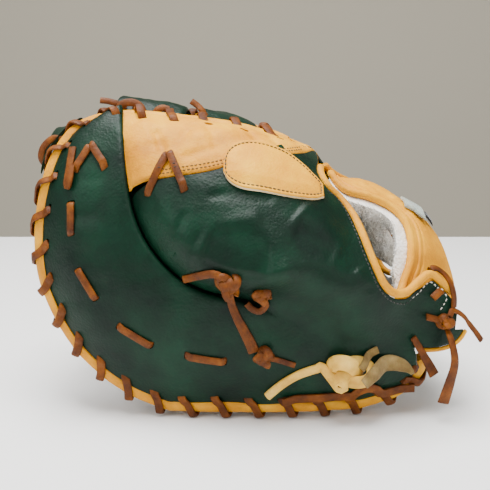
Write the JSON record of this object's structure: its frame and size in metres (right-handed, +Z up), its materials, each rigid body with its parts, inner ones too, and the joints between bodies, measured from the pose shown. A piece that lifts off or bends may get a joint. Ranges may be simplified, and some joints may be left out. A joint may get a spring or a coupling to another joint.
{
  "type": "first baseman mitt",
  "caption": "Scoop-shaped leather baseball mitt lying palm down, with laced rims, a web, a padded back and an open wrist strap.",
  "frame": {"origin": "middle of the outline on the table under the mitt", "axes": "+X towards the heel, +Z up, the finger half faces -Y and the thumb half +Y"},
  "size_m": [0.3196, 0.2078, 0.22],
  "materials": {
    "green_leather": "smooth green leather with a fine grain and a soft sheen",
    "tan_leather": "pale tan leather, smooth and semi-matt",
    "lace_leather": "brown rawhide lace, smooth, slightly waxy",
    "suede_tie": "pale undyed suede, matt and fibrous",
    "fleece": "grey-white pile, matt and fuzzy",
    "dark_lining": "black lining leather, matt",
    "tab_cloth": "grey-green hook and loop cloth, matt"
  },
  "bodies": {
    "root": {"palm": "green_leather", "finger_shell": "green_leather", "thumb_shell": "green_leather", "web_tip_bar": "green_leather", "web_upper_bar": "green_leather", "web_lower_bar": "green_leather", "web_post": "green_leather", "wrist_strap": "tan_leather", "strap_edge_roll": "tan_leather", "finger_web_panel": "tan_leather", "thumb_web_panel": "tan_leather", "finger_binding": "tan_leather", "thumb_binding": "tan_leather", "finger_opening_roll": "tan_leather", "thumb_opening_roll": "tan_leather", "finger_heel_piping": "tan_leather", "thumb_heel_piping": "tan_leather", "index_pad": "tan_leather", "finger_edge_lace": "lace_leather", "thumb_edge_lace": "lace_leather", "finger_rim_lace_1": "lace_leather", "finger_rim_lace_2": "lace_leather", "finger_rim_lace_3": "lace_leather", "finger_rim_lace_4": "lace_leather", "finger_rim_crossed_lace": "lace_leather", "finger_seam_crossed_lace": "lace_leather", "finger_slot_lace": "lace_leather", "finger_curl_lace": "lace_leather", "finger_rim_lace_knot": "lace_leather", "heel_lace": "lace_leather", "strap_lace": "lace_leather", "strap_lace_end": "lace_leather", "heel_stub_lace": "lace_leather", "rawhide_tie": "suede_tie", "wrist_fleece": "fleece", "hand_lining": "dark_lining", "strap_pull": "dark_lining", "strap_tab": "tab_cloth"}
  },
  "joints": []
}
